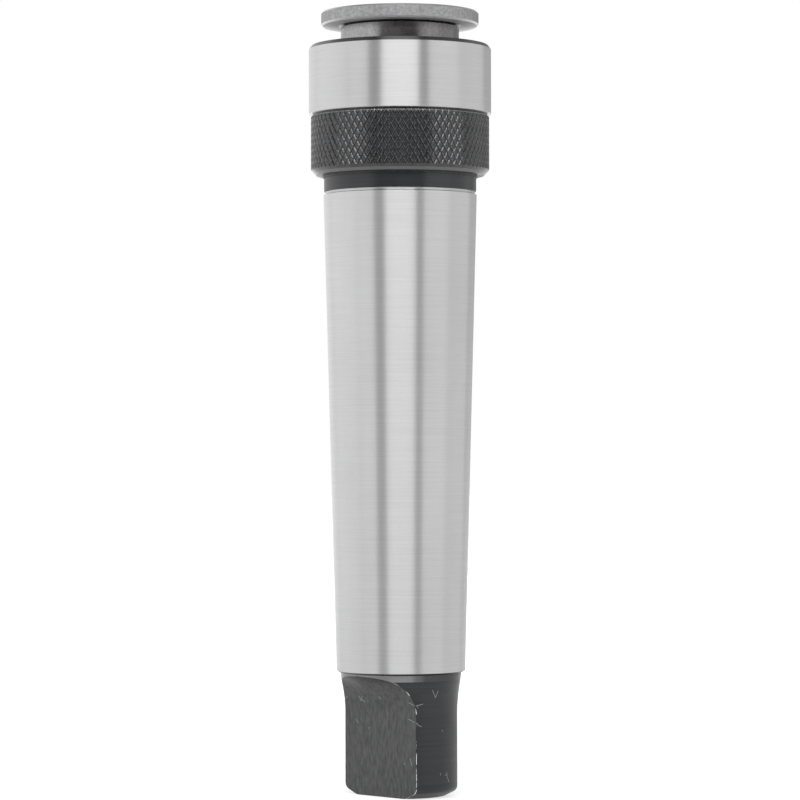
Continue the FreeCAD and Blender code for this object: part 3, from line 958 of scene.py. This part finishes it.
def makeScratches():
    points = []
    faces = []
    scratches = [(onFlat, line) for line in scratchSizes["flat"]]
    scratches += [(onRound, line) for line in scratchSizes["round"]]
    for place, line in scratches:
        spots = [place(*spot) for spot in line]
        start = len(points)
        for index, (spot, outward) in enumerate(spots):
            before = spots[max(index - 1, 0)][0]
            after = spots[min(index + 1, len(spots) - 1)][0]
            side = (after - before).cross(outward).normalized() * scratchSizes["width"] / 2
            lifted = spot + outward * scratchSizes["lift"]
            points += [lifted - side, lifted + side]
        for first in range(start, len(points) - 2, 2):
            faces.append((first, first + 1, first + 3, first + 2))
    piece = newPiece("tang_scratches", points, faces, ["scratch"])
    return placed(piece, "base", [])


scratches = makeScratches()
print("scratches made:", len(scratches.data.polygons), "faces")

# Locking sleeve: bright ground band in front, diamond knurl behind it
sleeveSizes = {
    "rearFaceRadius": 17.3,
    "rearChamfer": 1.2,
    "rubbedHeight": 0.5,         # of the rear chamfer's lower end
    "nickedEdge": 0.16,          # chamfer at the knurl's upper end
    "knurlLength": 10.95,
    "crestRadius": 18.4,
    "knurlDepth": 0.2,
    "diamonds": 79,
    "diamondHeight": 2.52,
    "columnsPerDiamond": 10,
    "flankShare": 0.21,          # of the pitch, from a groove's middle to the flat crest
    "valleyShare": 0.1,          # of the pitch, the dark bottom of a groove
    "chamferRows": 6,
    "grooveWidth": 0.5,
    "grooveDepth": 0.8,
    "grooveRounding": 0.06,
    "frontChamfer": 0.6,
    "frontChamferLength": 0.8,
    "chamferRounding": 0.08,
    "frontRounding": 0.12,
    "recessRounding": 0.1,
    "recessRadius": 17.4,
    "landRadius": 15.9,
    "camBottom": 17.4,           # heights above the sleeve's rear end
    "camTop": 21.32,
    "webBottom": 13.9,
    "webTop": 15.9,
    "webRadius": 14.75,
    "boreRadius": 15.75,
    "wiperRadius": 16.5,
    "wiperHeight": 1.8,
}


def fromLine(value):
    # 0 on a whole number and 0.5 halfway between two
    return abs(value - round(value))


def knurlPlace(angle, height):
    across = angle / (2 * math.pi) * sleeveSizes["diamonds"]
    along = height / sleeveSizes["diamondHeight"]
    return across + along, across - along


def makeSleeve():
    size = sleeveSizes
    low, high = millimetres("locking_sleeve")
    radius = high.x
    rear = low.z
    knurlBottom = rear + size["rearChamfer"]
    knurlTop = knurlBottom + size["knurlLength"]
    grooveRadius = radius - size["grooveDepth"]
    grooveTop = knurlTop + size["grooveWidth"]
    rowStep = size["diamondHeight"] / size["columnsPerDiamond"]
    columns = size["diamonds"] * size["columnsPerDiamond"]
    angles = evenAngles(columns)

    def envelope(height):
        # the rear chamfer cuts the knurl's crests down
        share = (height - rear) / size["rearChamfer"]
        return min(
            size["crestRadius"],
            size["rearFaceRadius"] + share * (size["crestRadius"] - size["rearFaceRadius"]))

    def knurled(row, angle):
        if row[2] not in ("knurledOxide", "nickedEdge"):
            return row[0]
        first, second = knurlPlace(angle, row[1] - knurlBottom)
        rise = min(fromLine(first), fromLine(second), size["flankShare"]) / size["flankShare"]
        return min(row[0], size["crestRadius"] - size["knurlDepth"] * (1 - rise))

    def knurlFinish(row, column, finish):
        if finish != "knurledOxide":
            return finish
        if row[1] < rear + size["rubbedHeight"]:
            return "rubbedOxide"
        if row[1] < knurlBottom or row[1] > knurlTop - rowStep:
            return finish
        angle = angles[column] + math.pi / columns
        first, second = knurlPlace(angle, row[1] + rowStep / 2 - knurlBottom)
        nearest = min(fromLine(first), fromLine(second))
        if nearest < size["valleyShare"]:
            return "turnedOxide"
        return "flankOxide" if nearest < size["flankShare"] else finish

    def split(row, following, column):
        # each cell's diagonal follows the groove that it lies beside
        if row[2] != "knurledOxide" or following[2] != "knurledOxide":
            return None
        height = (row[1] + following[1]) / 2 - knurlBottom
        angle = angles[column] + math.pi / columns
        first, second = knurlPlace(angle, height)
        return fromLine(first) < fromLine(second)

    chamferRows = size["chamferRows"]
    knurlHeights = [
        rear + size["rearChamfer"] * index / chamferRows for index in range(chamferRows)]
    rowCount = int((size["knurlLength"] - size["nickedEdge"]) / rowStep)
    knurlHeights += [knurlBottom + rowStep * index for index in range(rowCount + 1)]
    knurlRows = [(envelope(height), height, "knurledOxide") for height in knurlHeights]
    edge = size["nickedEdge"]
    knurlRows.append((size["crestRadius"], knurlTop - edge, "nickedEdge"))
    front = roundedPath([
        (size["crestRadius"] - edge, knurlTop, 0, "turnedOxide"),
        (grooveRadius, knurlTop, 0, "turnedOxide"),
        (grooveRadius, grooveTop, 0, "groundSteel"),
        (radius, grooveTop, size["grooveRounding"], "groundSteel"),
        (radius, high.z - size["frontChamferLength"], size["chamferRounding"], "rubbedOxide"),
        (radius - size["frontChamfer"], high.z, size["frontRounding"], "groundSteel"),
        (size["recessRadius"], high.z, size["recessRounding"], "turnedOxide"),
        (size["recessRadius"], rear + size["camTop"], 0, "turnedOxide"),
        (size["landRadius"], rear + size["camBottom"], 0, "turnedOxide"),
        (size["landRadius"], rear + size["webTop"], 0, "turnedOxide"),
        (size["webRadius"], rear + size["webTop"], 0, "turnedOxide"),
        (size["webRadius"], rear + size["webBottom"], 0, "turnedOxide"),
        (size["boreRadius"], rear + size["webBottom"], 0, "turnedOxide"),
        (size["boreRadius"], rear + size["wiperHeight"], 0, "turnedOxide"),
        (size["wiperRadius"], rear + size["wiperHeight"], 0, "turnedOxide"),
        (size["wiperRadius"], rear, 0, "turnedOxide"),
    ])
    sleeve = polarMesh(
        "sleeve", knurlRows + front, lambda row: angles, knurled, knurlFinish,
        ["groundSteel", "knurledOxide", "turnedOxide", "flankOxide", "rubbedOxide", "nickedEdge"],
        splitOf=split, loop=True)
    shadeSmooth(sleeve)
    return placed(sleeve, "sleeve", ["locking_sleeve"])


sleeve = makeSleeve()
print("sleeve made:", len(sleeve.data.polygons), "faces")

# Coil springs, each built in the box of its piece; their ends are not tied to the two bodies that hold
# them
springSizes = {
    "sleeve_spring": {"wire": (0.75, 0.6), "turns": 3.0, "carried": "sleeve_carrier"},
    "ejector_spring": {"wire": (1.4, 1.2), "turns": 4.5, "carried": "ejector"},
}
springShape = {"stepsPerTurn": 40, "wireSides": 10}


def makeSpring(node, size):
    low, high = millimetres(node)
    width, height = size["wire"]
    coilRadius = high.x - width / 2
    steps = round(size["turns"] * springShape["stepsPerTurn"])
    sides = springShape["wireSides"]
    points = []
    for step in range(steps + 1):
        share = step / steps
        turn = 2 * math.pi * size["turns"] * share
        level = low.z + height / 2 + (high.z - low.z - height) * share
        for side in evenAngles(sides):
            radius = coilRadius + width / 2 * math.cos(side)
            points.append((
                radius * math.cos(turn), radius * math.sin(turn),
                level + height / 2 * math.sin(side)))
    faces = [tuple(range(sides)), tuple(range(steps * sides + sides - 1, steps * sides - 1, -1))]
    for step in range(steps):
        for side in range(sides):
            first = step * sides + side
            second = step * sides + (side + 1) % sides
            faces.append((first, first + sides, second + sides, second))
    spring = newPiece(node + "_coil", points, faces, ["springSteel"])
    shadeSmooth(spring)
    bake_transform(spring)
    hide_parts(node)


for node, size in springSizes.items():
    makeSpring(node, size)
print("springs made:", len(springSizes))

# The pieces that stay as they are get their finish
nodeFinishes = {
    "turnedOxide": [
        "front_guide_ring", "ejector_plunger", "square_driver",
        "tool_clamp_screw_1", "tool_clamp_screw_2"],
    "springSteel": ["front_snap_ring", "driver_snap_ring", "sleeve_thrust_washer"],
    "colletSteel": ["collet_body"],
    "hardenedSteel": [
        "locking_ball_1", "locking_ball_2", "locking_ball_3", "drive_pin_1", "drive_pin_2",
        "driver_lock_pin_1", "driver_lock_pin_2"],
    "rubber": ["rear_wiper_ring"],
}
for finish, names in nodeFinishes.items():
    for name in names:
        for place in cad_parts[name].material_slots:
            place.material = finishes[finish]
print("finishes given to", sum(map(len, nodeFinishes.values())), "more pieces")

# Moulded and ground pieces have soft edges, each with its width
softEdgeSegments = 2
softEdges = {
    "rear_wiper_ring": 0.1, "front_guide_ring": 0.15, "ejector_plunger": 0.12,
    "collet_body": 0.08, "square_driver": 0.1, "sleeve_thrust_washer": 0.08,
}
for name, width in softEdges.items():
    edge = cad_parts[name].modifiers.new("softEdge", "BEVEL")
    edge.width = width * mm
    edge.segments = softEdgeSegments
    edge.limit_method = "ANGLE"
    edge.angle_limit = math.radians(shading["sharpAngle"])
print("soft edges given to", len(softEdges), "pieces")
